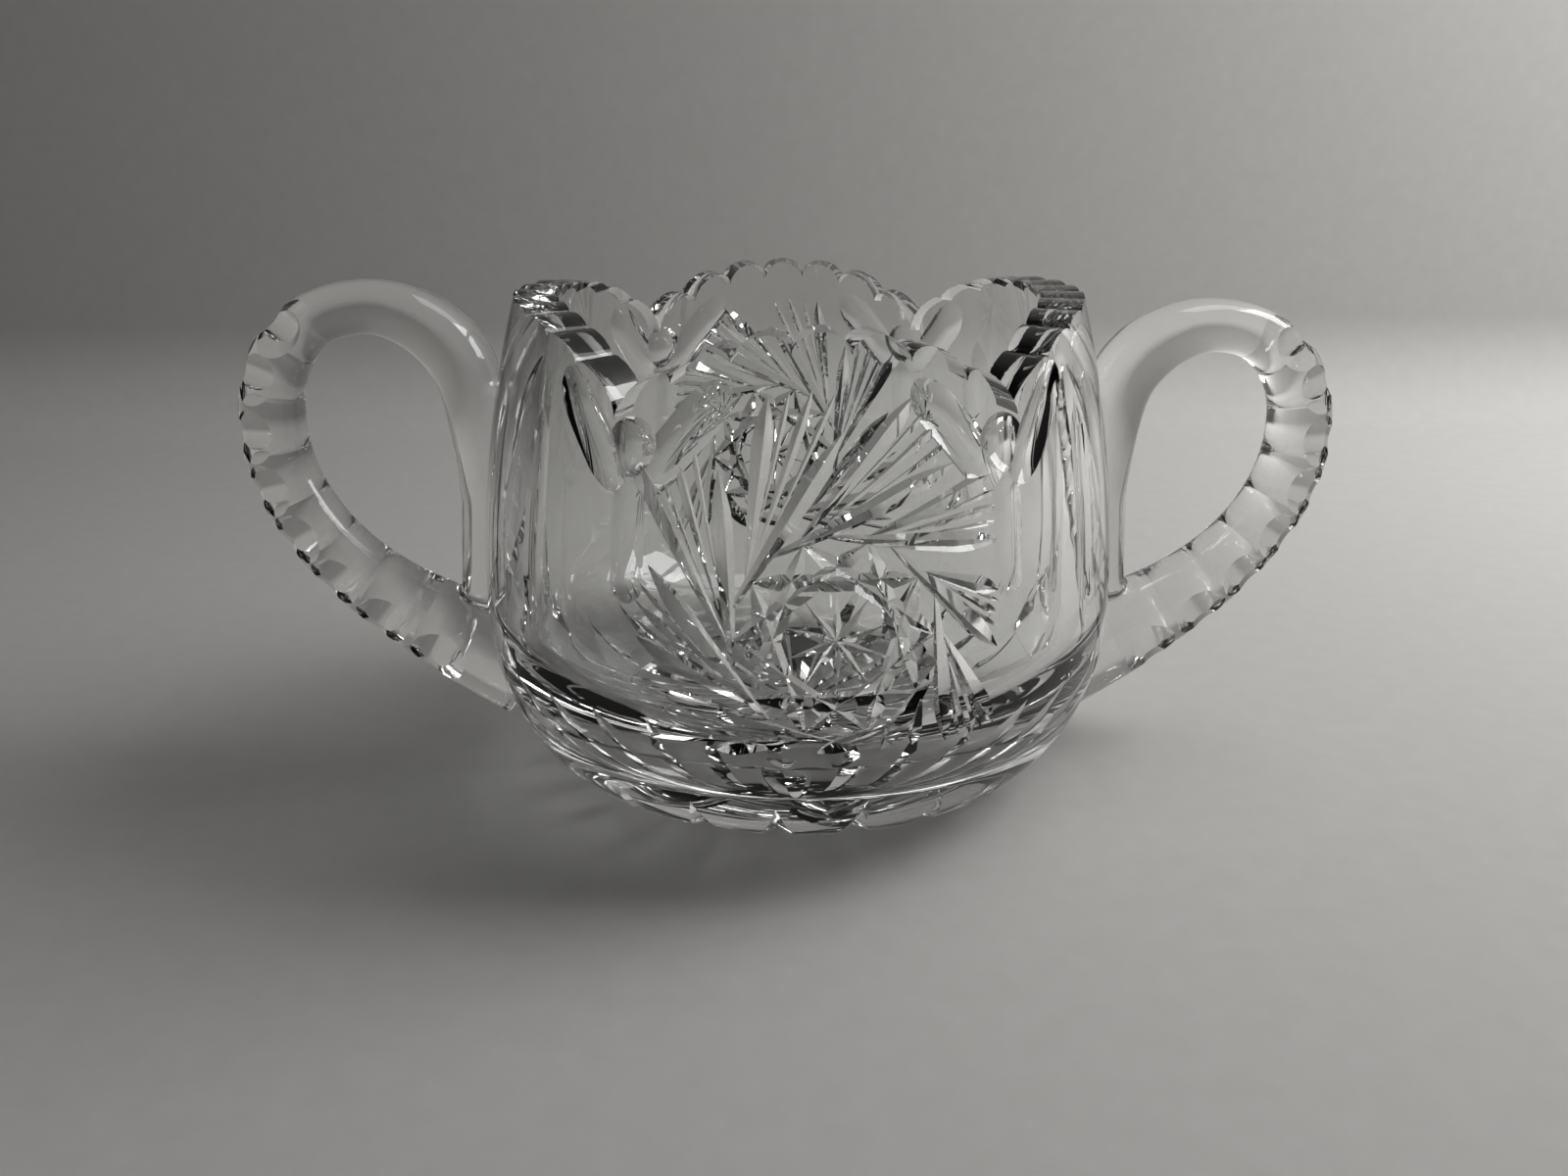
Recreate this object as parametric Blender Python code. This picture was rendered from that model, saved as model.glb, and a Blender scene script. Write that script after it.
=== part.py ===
"""Two-handled cut-glass sugar bowl: a turned glass blank with a cut rim, a pinwheel on front and back,
a star-cut base, and two notched loop handles set against its sides. Metres, +Z up, handles along X."""

import math

import bmesh
import bpy
from mathutils import Matrix, Vector

MM = 0.001
BOWL_COLOUR = (0.93, 0.94, 0.93, 1.0)
HANDLE_COLOUR = (0.92, 0.93, 0.92, 1.0)
SHARP_ANGLE = math.radians(25.0)

# Bowl blank, as turned: outer wall, then the cavity.
BOWL_HEIGHT = 69.0 * MM
FOOT_RADIUS = 29.2 * MM
FOOT_HEIGHT = 1.6 * MM
HEEL_RADIUS = 33.0 * MM
HEEL_HEIGHT = 2.6 * MM
BELLY_RADIUS = 45.3 * MM
BELLY_HEIGHT = 24.0 * MM
LOWER_POWER = 1.75
RIM_RADIUS = 38.8 * MM
RIM_WALL = 5.8 * MM
BELLY_WALL = 6.4 * MM
FLOOR_THICKNESS = 9.0 * MM
FLOOR_FLAT_RADIUS = 16.0 * MM
CAVITY_BELLY_HEIGHT = 26.7 * MM
TURN_STEPS = 72
LOWER_STEPS = 6
UPPER_STEPS = 5

# Rim: 36 rounded teeth in four lobes, narrow ones at front and back and wide ones over the handles.
TOOTH_COUNT = 36
TOOTH_HEIGHT = 2.4 * MM
TOOTH_STEPS = 5
FRONT_LOBE_HALF_ANGLE = math.radians(35.0)
LOBE_DROP = 8.2 * MM
LOBE_POWER = 2.4
RIM_CUT_REACH = 15.0 * MM

# Star cut into the underside. Its rays run out over the edge of the foot,
# which stands on the flats between them.
STAR_RAYS = 24
STAR_DEPTH = 1.5 * MM
STAR_HALF_WIDTH = 1.7 * MM
STAR_LIFT = 0.05 * MM
STAR_OVERRUN = 3.0 * MM
# Along one ray: part of its reach, and the share of its full depth and width there.
STAR_SHAPE = ((0.12, 0.10), (0.55, 0.80), (0.80, 1.0), (1.0, 0.55))

# Mitre cuts of the pinwheel and of its hobstar centre, on the walls that face front and back.
PATTERN_TURN = math.radians(2.0)
FACINGS = (PATTERN_TURN, math.pi + PATTERN_TURN)
PINWHEEL_HEIGHT = 34.2 * MM
PINWHEEL_RADIUS = 12.4 * MM
VANE_COUNT = 10
VANE_START = math.radians(221.0)
# Each vane has a line along the tangent and one that fans outward: its turn, and its start past the point.
VANE_TURNS = (math.radians(-2.0), math.radians(23.0))
VANE_INSETS = (0.2 * MM, 1.2 * MM)
VANE_LENGTH = 25.0 * MM
VANE_LEAST = 4.0 * MM
VANE_DEPTH = 1.2 * MM
VANE_SHORT_SHARE = 0.45
PANEL_HALF_WIDTH = 21.0 * MM
PANEL_BOTTOM = 20.0 * MM
RIM_MARGIN = 3.6 * MM
HOBSTAR_POINTS = 10
HOBSTAR_SKIP = 3
HOBSTAR_RADIUS = 11.2 * MM
HOBSTAR_TURN = math.radians(36.0)
HOBSTAR_DEPTH = 0.75 * MM
MITRE_LIFT = 0.4 * MM
MITRE_FLANK = 1.1
# Along a cut: part of its length, and the share of its full depth there.
SPEAR_SHAPE = ((0.0, 0.12), (0.36, 0.62), (0.72, 1.0), (0.9, 0.6), (1.0, 0.08))
CHORD_SHAPE = ((0.0, 0.12), (0.15, 1.0), (0.5, 1.0), (0.85, 1.0), (1.0, 0.12))

# Round-wheel cuts: under each dip of the rim two petals open like a Y over a thumbprint and an upright
# flute, and plain upright flutes stand at both sides of the handles.
PETAL_RADIUS = 5.0 * MM
PETAL_DEPTH = 0.9 * MM
PETAL_LENGTH = 14.0 * MM
PETAL_LEAN = math.radians(40.0)
PETAL_OUT = 4.6 * MM
PETAL_DROP = 3.7 * MM
THUMBPRINT_RADIUS = 4.2 * MM
THUMBPRINT_DEPTH = 0.9 * MM
THUMBPRINT_DROP = 5.6 * MM
FLUTE_RADIUS = 5.0 * MM
FLUTE_DEPTH = 0.6 * MM
PILLAR_DROP = 19.0 * MM
PILLAR_LENGTH = 17.0 * MM
SIDE_FLUTES = (math.radians(52.0), math.radians(66.0))
SIDE_FLUTE_HEIGHT = 44.0 * MM
SIDE_FLUTE_LENGTH = 28.0 * MM
WHEEL_SEGMENTS = 24

# Handles: a loop from the shoulder to the foot, and the strip of it that lies along the wall.
JOINT_GAP = 0.3 * MM
HANDLE_REACH = 28.4 * MM
LEFT_HANDLE_TOP = 67.0 * MM
RIGHT_HANDLE_TOP = 63.4 * MM
HANDLE_THICKNESS = 8.7 * MM
HANDLE_WIDTH = 9.6 * MM
HANDLE_SEGMENTS = 16
HANDLE_RINGS = 34
STRIP_PROUD = 2.8 * MM
STRIP_HALF_WIDTH = 4.8 * MM
STRIP_RINGS = 7
STRIP_TOP = 0.84
STRIP_BOTTOM = 0.34
SECTION_POWER = 2.5
# Along the loop: reach past the belly, height, half thickness and half width, as parts of the four sizes.
HANDLE_PATH = (
    (-0.257, 0.800, 0.80, 0.80),
    (-0.081, 0.863, 0.71, 0.72),
    (0.070, 0.923, 0.60, 0.60),
    (0.254, 0.975, 0.48, 0.50),
    (0.482, 1.000, 0.43, 0.47),
    (0.711, 0.980, 0.43, 0.47),
    (0.877, 0.923, 0.46, 0.49),
    (0.975, 0.840, 0.48, 0.50),
    (1.000, 0.736, 0.50, 0.50),
    (0.961, 0.638, 0.51, 0.50),
    (0.870, 0.549, 0.52, 0.50),
    (0.739, 0.469, 0.54, 0.52),
    (0.560, 0.393, 0.59, 0.55),
    (0.342, 0.325, 0.67, 0.60),
    (0.095, 0.264, 0.80, 0.70),
    (-0.187, 0.207, 0.94, 0.80),
)

# Three rows of thumb notches along each handle, by how far each row leans from the outer side.
NOTCH_LEANS = (math.radians(-60.0), 0.0, math.radians(60.0))
NOTCH_COUNT = 8
NOTCH_FIRST = 0.40
NOTCH_LAST = 0.89
NOTCH_RADIUS = 14.0 * MM
NOTCH_DEPTH = 0.7 * MM
NOTCH_LENGTH = 9.0 * MM
NOTCH_SEGMENTS = 48


def clear_scene():
    for old in list(bpy.data.objects):
        bpy.data.objects.remove(old, do_unlink=True)


def glass(name, colour):
    material = bpy.data.materials.new(name)
    material.use_nodes = True
    shader = material.node_tree.nodes["Principled BSDF"]
    shader.inputs["Base Color"].default_value = colour
    shader.inputs["Roughness"].default_value = 0.02
    shader.inputs["IOR"].default_value = 1.52
    shader.inputs["Transmission Weight"].default_value = 1.0
    return material


def new_object(name, mesh, cutter=False):
    made = bpy.data.objects.new(name, mesh)
    bpy.context.scene.collection.objects.link(made)
    if cutter:
        made.hide_render = True
        made.display_type = "WIRE"
    return made


def object_from_bmesh(name, bm, cutter=False):
    bmesh.ops.recalc_face_normals(bm, faces=bm.faces)
    mesh = bpy.data.meshes.new(name)
    bm.to_mesh(mesh)
    bm.free()
    return new_object(name, mesh, cutter)


def boolean(target, cutter, operation="DIFFERENCE"):
    modifier = target.modifiers.new(cutter.name, "BOOLEAN")
    modifier.operation = operation
    modifier.solver = "MANIFOLD"
    modifier.object = cutter


def wall_radius(z):
    """Radius of the bowl's outer wall at a height."""
    if z < HEEL_HEIGHT:
        flare = max(0.0, (z - FOOT_HEIGHT) / (HEEL_HEIGHT - FOOT_HEIGHT))
        return FOOT_RADIUS + (HEEL_RADIUS - FOOT_RADIUS) * flare
    if z < BELLY_HEIGHT:
        fall = (BELLY_HEIGHT - z) / (BELLY_HEIGHT - HEEL_HEIGHT)
        bulge = (1.0 - fall ** LOWER_POWER) ** (1.0 / LOWER_POWER)
        return HEEL_RADIUS + (BELLY_RADIUS - HEEL_RADIUS) * bulge
    rise = (z - BELLY_HEIGHT) / (BOWL_HEIGHT - BELLY_HEIGHT)
    return BELLY_RADIUS + (RIM_RADIUS - BELLY_RADIUS) * rise * rise


def wall_point(x, z, facing):
    """Point and outward normal on the wall, x along it from the line that faces this angle."""
    radius = wall_radius(z)
    step = 0.2 * MM
    slope = (wall_radius(z + step) - wall_radius(z - step)) / (2.0 * step)
    angle = facing + x / radius
    out = Vector((math.sin(angle), -math.cos(angle), 0.0))
    normal = (out - Vector((0.0, 0.0, slope))).normalized()
    return out * radius + Vector((0.0, 0.0, z)), normal


def outer_profile(grow=0.0):
    """Radius and height pairs of the outer wall, from the foot to above the rim."""
    points = [(FOOT_RADIUS + grow, -grow), (FOOT_RADIUS + grow, FOOT_HEIGHT)]
    for i in range(LOWER_STEPS + 1):
        turn = 0.5 * math.pi * i / LOWER_STEPS
        height = HEEL_HEIGHT + (BELLY_HEIGHT - HEEL_HEIGHT) * (1.0 - math.cos(turn))
        points.append((wall_radius(height) + grow * math.sin(turn), height - grow * math.cos(turn)))
    for i in range(1, UPPER_STEPS + 2):
        height = BELLY_HEIGHT + (BOWL_HEIGHT - BELLY_HEIGHT) * i / UPPER_STEPS
        points.append((wall_radius(height) + grow, height))
    return points


def inner_profile():
    """Radius and height pairs of the cavity, from above the rim down to the floor."""
    belly = BELLY_RADIUS - BELLY_WALL
    rim = RIM_RADIUS - RIM_WALL
    points = []
    for i in range(UPPER_STEPS + 1, 0, -1):
        rise = i / UPPER_STEPS
        height = CAVITY_BELLY_HEIGHT + (BOWL_HEIGHT - CAVITY_BELLY_HEIGHT) * rise
        points.append((belly + (rim - belly) * rise * rise, height))
    for i in range(LOWER_STEPS, -1, -1):
        turn = 0.5 * math.pi * i / LOWER_STEPS
        radius = FLOOR_FLAT_RADIUS + (belly - FLOOR_FLAT_RADIUS) * math.sin(turn)
        rise = 1.0 - math.cos(turn)
        points.append((radius, FLOOR_THICKNESS + (CAVITY_BELLY_HEIGHT - FLOOR_THICKNESS) * rise))
    return points


def turned(name, profile, cutter=False):
    """Solid of revolution from a profile that starts and ends on the axis."""
    bm = bmesh.new()
    verts = [bm.verts.new((radius, 0.0, height)) for radius, height in profile]
    for first, second in zip(verts, verts[1:]):
        bm.edges.new((first, second))
    bmesh.ops.spin(
        bm,
        geom=list(bm.verts) + list(bm.edges),
        cent=(0.0, 0.0, 0.0),
        axis=(0.0, 0.0, 1.0),
        angle=2.0 * math.pi,
        steps=TURN_STEPS,
    )
    bmesh.ops.remove_doubles(bm, verts=bm.verts, dist=0.001 * MM)
    return object_from_bmesh(name, bm, cutter)


def lobe_height(angle):
    """Height of the four lobes at an angle from the front, without their teeth."""
    around = abs((angle + math.pi) % (2.0 * math.pi) - math.pi)
    from_middle = min(around, math.pi - around)
    if from_middle < FRONT_LOBE_HALF_ANGLE:
        part = from_middle / FRONT_LOBE_HALF_ANGLE
    else:
        part = (0.5 * math.pi - from_middle) / (0.5 * math.pi - FRONT_LOBE_HALF_ANGLE)
    return BOWL_HEIGHT - LOBE_DROP * part ** LOBE_POWER


def rim_height(angle):
    """Height of the cut rim at an angle from the front: the lobes, with a round tooth on every pitch."""
    across = (angle * TOOTH_COUNT / (2.0 * math.pi) + 0.5) % 1.0
    arch = math.sqrt(max(0.0, 1.0 - (2.0 * across - 1.0) ** 2))
    return lobe_height(angle) - TOOTH_HEIGHT * (1.0 - arch)


def rim_cutter():
    """Ring above the rim line, cut square across the wall."""
    inner = RIM_RADIUS - RIM_WALL - RIM_CUT_REACH
    outer = BELLY_RADIUS + RIM_CUT_REACH
    top = BOWL_HEIGHT + RIM_CUT_REACH
    bm = bmesh.new()
    rings = []
    count = TOOTH_COUNT * TOOTH_STEPS
    for i in range(count):
        angle = 2.0 * math.pi * (i / TOOTH_STEPS - 0.5) / TOOTH_COUNT
        low = rim_height(angle)
        out = Vector((math.sin(angle), -math.cos(angle), 0.0))
        corners = [(inner, low), (outer, low), (outer, top), (inner, top)]
        rings.append([bm.verts.new(out * r + Vector((0.0, 0.0, z))) for r, z in corners])
    for i in range(count):
        here, after = rings[i], rings[(i + 1) % count]
        for k in range(4):
            bm.faces.new((here[k], here[(k + 1) % 4], after[(k + 1) % 4], after[k]))
    return object_from_bmesh("rim_cutter", bm, cutter=True)


def add_mitre(bm, stations, flank=MITRE_FLANK, lift=MITRE_LIFT):
    """Closed V-shaped prism through (point, normal, depth) stations; flank is half width over depth."""
    rings = []
    for i, (point, normal, depth) in enumerate(stations):
        before = stations[max(0, i - 1)][0]
        after = stations[min(len(stations) - 1, i + 1)][0]
        side = (after - before).normalized().cross(normal).normalized()
        flare = flank * (depth + lift)
        corners = (point - normal * depth, point + normal * lift + side * flare,
                   point + normal * lift - side * flare)
        rings.append([bm.verts.new(corner) for corner in corners])
    for here, after in zip(rings, rings[1:]):
        for k in range(3):
            bm.faces.new((here[k], here[(k + 1) % 3], after[(k + 1) % 3], after[k]))
    bm.faces.new(rings[0][::-1])
    bm.faces.new(rings[-1])


def add_wall_mitre(bm, start, end, depth, shape, facing):
    """Straight mitre on the wall between two pattern points, (along, height)."""
    stations = []
    for part, share in shape:
        x = start[0] + (end[0] - start[0]) * part
        z = start[1] + (end[1] - start[1]) * part
        point, normal = wall_point(x, z, facing)
        stations.append((point, normal, depth * share))
    add_mitre(bm, stations)


def vane_end(start, turn):
    """End and length of a vane line, which stops at the edge of its panel."""
    step = 0.01 * VANE_LENGTH
    length = 0.0
    end = start
    while length < VANE_LENGTH:
        x = end[0] + step * math.cos(turn)
        z = end[1] + step * math.sin(turn)
        top = lobe_height(x / wall_radius(z)) - TOOTH_HEIGHT - RIM_MARGIN
        if abs(x) > PANEL_HALF_WIDTH or z < PANEL_BOTTOM or z > top:
            break
        end = (x, z)
        length += step
    return end, length


def vane_cutter(k):
    """Line k of every vane of the whirl, on front and back. Lines of one cutter never cross."""
    bm = bmesh.new()
    for facing in FACINGS:
        for i in range(VANE_COUNT):
            angle = VANE_START - 2.0 * math.pi * i / VANE_COUNT
            turn = angle - 0.5 * math.pi + VANE_TURNS[k]
            start = (PINWHEEL_RADIUS * math.cos(angle) + VANE_INSETS[k] * math.cos(turn),
                     PINWHEEL_HEIGHT + PINWHEEL_RADIUS * math.sin(angle) + VANE_INSETS[k] * math.sin(turn))
            end, length = vane_end(start, turn)
            if length > VANE_LEAST:
                depth = VANE_DEPTH * min(1.0, VANE_SHORT_SHARE + length / VANE_LENGTH)
                add_wall_mitre(bm, start, end, depth, SPEAR_SHAPE, facing)
    return object_from_bmesh(f"vane_cutter_{k}", bm, cutter=True)


def hobstar_cutter(k):
    """One pair of parallel chords of the hobstar, on front and back."""
    bm = bmesh.new()
    for facing in FACINGS:
        for first in (k, k + HOBSTAR_POINTS // 2):
            ends = []
            for corner in (first, first + HOBSTAR_SKIP):
                angle = 2.0 * math.pi * corner / HOBSTAR_POINTS + HOBSTAR_TURN
                ends.append((HOBSTAR_RADIUS * math.cos(angle),
                             PINWHEEL_HEIGHT + HOBSTAR_RADIUS * math.sin(angle)))
            add_wall_mitre(bm, ends[0], ends[1], HOBSTAR_DEPTH, CHORD_SHAPE, facing)
    return object_from_bmesh(f"hobstar_cutter_{k}", bm, cutter=True)


def four_facings(angle):
    """Directions at this angle to both sides of front and back."""
    return [centre + side * angle for centre in (0.0, math.pi) for side in (-1.0, 1.0)]


def add_wheel(bm, x, z, facing, lean, radius, depth, length):
    """Round cutter laid along the wall at a pattern point, with its top leaning this far towards +x."""
    point, normal = wall_point(x, z, facing)
    side = Vector((0.0, 0.0, 1.0)).cross(normal).normalized()
    along = normal.cross(side) * math.cos(lean) + side * math.sin(lean)
    pose = Matrix((normal.cross(along), normal, -along)).transposed().to_4x4()
    pose.translation = point + normal * (radius - depth)
    bmesh.ops.create_cone(bm, cap_ends=True, segments=WHEEL_SEGMENTS, radius1=radius, radius2=radius,
                          depth=length, matrix=pose)


def petal_cutter(name, side):
    """One petal of the Y under each dip of the rim."""
    bm = bmesh.new()
    height = BOWL_HEIGHT - LOBE_DROP - PETAL_DROP
    for facing in four_facings(FRONT_LOBE_HALF_ANGLE):
        add_wheel(bm, side * PETAL_OUT, height, facing, side * PETAL_LEAN,
                  PETAL_RADIUS, PETAL_DEPTH, PETAL_LENGTH)
    return object_from_bmesh(name, bm, cutter=True)


def thumbprint_cutter():
    """Round thumbprint in the crotch of each Y cut."""
    bm = bmesh.new()
    for facing in four_facings(FRONT_LOBE_HALF_ANGLE):
        point, normal = wall_point(0.0, BOWL_HEIGHT - LOBE_DROP - THUMBPRINT_DROP, facing)
        ball = Matrix.Translation(point + normal * (THUMBPRINT_RADIUS - THUMBPRINT_DEPTH))
        bmesh.ops.create_icosphere(bm, subdivisions=3, radius=THUMBPRINT_RADIUS, matrix=ball)
    return object_from_bmesh("thumbprint_cutter", bm, cutter=True)


def flute_cutter():
    """Shallow upright flutes, down the pillars under the dips and at the sides of the handles."""
    bm = bmesh.new()
    height = BOWL_HEIGHT - LOBE_DROP - PILLAR_DROP
    for facing in four_facings(FRONT_LOBE_HALF_ANGLE):
        add_wheel(bm, 0.0, height, facing, 0.0, FLUTE_RADIUS, FLUTE_DEPTH, PILLAR_LENGTH)
    for angle in SIDE_FLUTES:
        for facing in four_facings(angle):
            add_wheel(bm, 0.0, SIDE_FLUTE_HEIGHT, facing, 0.0, FLUTE_RADIUS, FLUTE_DEPTH, SIDE_FLUTE_LENGTH)
    return object_from_bmesh("flute_cutter", bm, cutter=True)


def star_cutter():
    """Rays of the base star, each a V from near the middle to past the edge of the foot."""
    bm = bmesh.new()
    down = Vector((0.0, 0.0, -1.0))
    reach = FOOT_RADIUS + STAR_OVERRUN
    for i in range(STAR_RAYS):
        angle = 2.0 * math.pi * (i + 0.5) / STAR_RAYS
        ray = Vector((math.cos(angle), math.sin(angle), 0.0))
        stations = []
        for part, share in STAR_SHAPE:
            stations.append((ray * reach * part, down, STAR_DEPTH * share))
        add_mitre(bm, stations, STAR_HALF_WIDTH / STAR_DEPTH, STAR_LIFT)
    return object_from_bmesh("star_cutter", bm, cutter=True)


def path_at(part, top):
    """Handle path at a part of its length: reach, height, half thickness and half width in metres."""
    place = part * (len(HANDLE_PATH) - 1)
    index = min(int(place), len(HANDLE_PATH) - 2)
    t = place - index
    last = len(HANDLE_PATH) - 1
    rows = [HANDLE_PATH[max(0, min(last, index + k))] for k in (-1, 0, 1, 2)]
    values = []
    for a, b, c, d in zip(*rows):
        values.append(b + 0.5 * t * (c - a + t * (2 * a - 5 * b + 4 * c - d + t * (3 * (b - c) + d - a))))
    reach, height, thick, wide = values
    return (BELLY_RADIUS + reach * HANDLE_REACH, height * top,
            thick * HANDLE_THICKNESS, wide * HANDLE_WIDTH)


def path_frame(part, top):
    """Centre, outward direction, half thickness and half width of the handle at a part of its length."""
    step = 0.004
    before = path_at(max(0.0, part - step), top)
    after = path_at(min(1.0, part + step), top)
    along = Vector((after[0] - before[0], 0.0, after[1] - before[1])).normalized()
    reach, height, thick, wide = path_at(part, top)
    out = Vector((-along.z, 0.0, along.x))
    return Vector((reach, 0.0, height)), out, thick, wide


def section(centre, out, thick, wide):
    """Ring of points on a rounded-square section."""
    points = []
    for k in range(HANDLE_SEGMENTS):
        angle = 2.0 * math.pi * k / HANDLE_SEGMENTS
        c, s = math.cos(angle), math.sin(angle)
        x = math.copysign(abs(c) ** (2.0 / SECTION_POWER), c) * thick
        y = math.copysign(abs(s) ** (2.0 / SECTION_POWER), s) * wide
        points.append(centre + out * x + Vector((0.0, y, 0.0)))
    return points


def lofted(name, sections, turn, cutter=False):
    """Closed tube through rings of points, turned about the bowl's axis."""
    bm = bmesh.new()
    rings = [[bm.verts.new(turn @ point) for point in ring] for ring in sections]
    count = len(rings[0])
    for here, after in zip(rings, rings[1:]):
        for k in range(count):
            bm.faces.new((here[k], here[(k + 1) % count], after[(k + 1) % count], after[k]))
    bm.faces.new(rings[0][::-1])
    bm.faces.new(rings[-1])
    return object_from_bmesh(name, bm, cutter)


def notch_cutter(name, turn, top, lean, first):
    """Every other thumb notch of one row, so that no two of a cutter meet."""
    bm = bmesh.new()
    for i in range(first, NOTCH_COUNT, 2):
        part = NOTCH_FIRST + (NOTCH_LAST - NOTCH_FIRST) * i / (NOTCH_COUNT - 1)
        centre, out, thick, wide = path_frame(part, top)
        face = out * math.cos(lean) + Vector((0.0, math.sin(lean), 0.0))
        across = abs(math.cos(lean)) / thick
        beside = abs(math.sin(lean)) / wide
        surface = (across ** SECTION_POWER + beside ** SECTION_POWER) ** (-1.0 / SECTION_POWER)
        along = Vector((0.0, 1.0, 0.0)).cross(out).normalized()
        pose = Matrix((along, face, along.cross(face))).transposed().to_4x4()
        pose.translation = centre + face * (surface + NOTCH_RADIUS - NOTCH_DEPTH)
        bmesh.ops.create_cone(bm, cap_ends=True, segments=NOTCH_SEGMENTS, radius1=NOTCH_RADIUS,
                              radius2=NOTCH_RADIUS, depth=NOTCH_LENGTH, matrix=turn @ pose)
    return object_from_bmesh(name, bm, cutter=True)


def strip_sections(top):
    """Rings of the strip that lies along the wall between the handle's two ends."""
    rings = []
    for i in range(STRIP_RINGS):
        part = i / (STRIP_RINGS - 1)
        height = top * (STRIP_TOP + (STRIP_BOTTOM - STRIP_TOP) * part)
        half = 0.5 * (STRIP_PROUD + RIM_WALL)
        centre = Vector((wall_radius(height) + STRIP_PROUD - half, 0.0, height))
        rings.append(section(centre, Vector((1.0, 0.0, 0.0)), half, STRIP_HALF_WIDTH))
    return rings


def make_handle(name, angle, top, seat, material):
    turn = Matrix.Rotation(angle, 4, "Z")
    loop = [section(*path_frame(i / (HANDLE_RINGS - 1), top)) for i in range(HANDLE_RINGS)]
    handle = lofted(name, loop, turn)
    strip = lofted(name + "_strip", strip_sections(top), turn, cutter=True)
    boolean(handle, strip, "UNION")
    for row, lean in enumerate(NOTCH_LEANS):
        for first in (0, 1):
            boolean(handle, notch_cutter(f"{name}_notches_{row}_{first}", turn, top, lean, first))
    boolean(handle, seat)
    handle.data.materials.append(material)
    return handle


def make_bowl(material):
    profile = [(0.0, 0.0)] + outer_profile() + inner_profile() + [(0.0, FLOOR_THICKNESS)]
    bowl = turned("bowl", profile)
    boolean(bowl, rim_cutter())
    boolean(bowl, star_cutter())
    boolean(bowl, petal_cutter("left_petal_cutter", -1.0))
    boolean(bowl, petal_cutter("right_petal_cutter", 1.0))
    boolean(bowl, thumbprint_cutter())
    boolean(bowl, flute_cutter())
    for k in range(len(VANE_TURNS)):
        boolean(bowl, vane_cutter(k))
    for k in range(HOBSTAR_POINTS // 2):
        boolean(bowl, hobstar_cutter(k))
    bowl.data.materials.append(material)
    return bowl


def make_seat():
    """The blank grown by the joint gap, which shapes the handles' seats."""
    outer = outer_profile(JOINT_GAP)
    profile = [(0.0, outer[0][1])] + outer + [(0.0, outer[-1][1])]
    return turned("handle_seat", profile, cutter=True)


def smooth(piece):
    for polygon in piece.data.polygons:
        polygon.use_smooth = True
    piece.data.set_sharp_from_angle(angle=SHARP_ANGLE)


clear_scene()
bowl = make_bowl(glass("bowl_glass", BOWL_COLOUR))
seat = make_seat()
right_glass = glass("right_handle_glass", HANDLE_COLOUR)
left_glass = glass("left_handle_glass", HANDLE_COLOUR)
right_handle = make_handle("right_handle", 0.0, RIGHT_HANDLE_TOP, seat, right_glass)
left_handle = make_handle("left_handle", math.pi, LEFT_HANDLE_TOP, seat, left_glass)
for piece in (bowl, right_handle, left_handle):
    smooth(piece)
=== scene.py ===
# %% [markdown]
# # A two-handled cut-glass sugar bowl
# The bowl is one thick turned glass blank. A cutter ground the rim, the pinwheel and the base star into
# it with stone wheels, and two hot loops of glass were fused to its sides as handles.
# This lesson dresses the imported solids. It first loads them as a fixed frame, then makes a fine copy of
# each piece in the same place, and keeps the first box so that the new pieces can be compared with it.

# %% Load the frame
import math

import bmesh
import bpy
from mathutils import Matrix, Vector


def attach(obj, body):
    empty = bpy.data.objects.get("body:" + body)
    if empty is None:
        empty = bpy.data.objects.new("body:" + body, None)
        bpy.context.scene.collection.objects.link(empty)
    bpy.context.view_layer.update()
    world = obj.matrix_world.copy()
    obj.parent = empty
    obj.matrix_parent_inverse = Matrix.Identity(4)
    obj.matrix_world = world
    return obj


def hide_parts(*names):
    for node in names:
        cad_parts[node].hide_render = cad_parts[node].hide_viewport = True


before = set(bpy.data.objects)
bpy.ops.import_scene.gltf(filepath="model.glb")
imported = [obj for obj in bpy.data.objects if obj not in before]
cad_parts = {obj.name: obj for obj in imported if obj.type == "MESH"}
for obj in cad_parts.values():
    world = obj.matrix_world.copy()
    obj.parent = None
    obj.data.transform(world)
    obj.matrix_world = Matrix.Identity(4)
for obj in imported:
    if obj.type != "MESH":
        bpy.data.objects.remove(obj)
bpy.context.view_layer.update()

MM = 0.001
scene = bpy.context.scene
scene.view_settings.view_transform = "Standard"

# %% [markdown]
# ## The camera
# A fit of the rim, the belly and the foot against the picture puts the lens about 19 cm in front of the
# bowl, 9 cm up and tilted 20 degrees down. Such a close lens makes the near parts look larger, so the
# distance matters as much as the direction.

# %% Camera
LENS_MM = 30.375
CAMERA_PLACE = Vector((-12.7, -186.1, 92.5)) * MM
CAMERA_TURN = math.radians(-3.3)
CAMERA_TILT = math.radians(-19.97)

camera_data = bpy.data.cameras.new("camera")
camera_data.sensor_width = 36.0
camera_data.sensor_fit = "HORIZONTAL"
camera_data.lens = LENS_MM
camera_data.clip_start = 0.01
camera = bpy.data.objects.new("camera", camera_data)
scene.collection.objects.link(camera)
camera.location = CAMERA_PLACE
camera.rotation_euler = (0.5 * math.pi + CAMERA_TILT, 0.0, CAMERA_TURN)
scene.camera = camera
print("camera at", [round(v / MM, 1) for v in camera.location], "mm")

# %% [markdown]
# ## The wall of the blank
# Everything is cut from a turned form, so two small functions give its radius at a height: a low foot, a
# quarter of a squeezed ellipse from the heel to the belly, then a gentle parabola up to the rim. The cuts
# use the same functions to find the surface and its normal, so they always lie on the glass.

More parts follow.
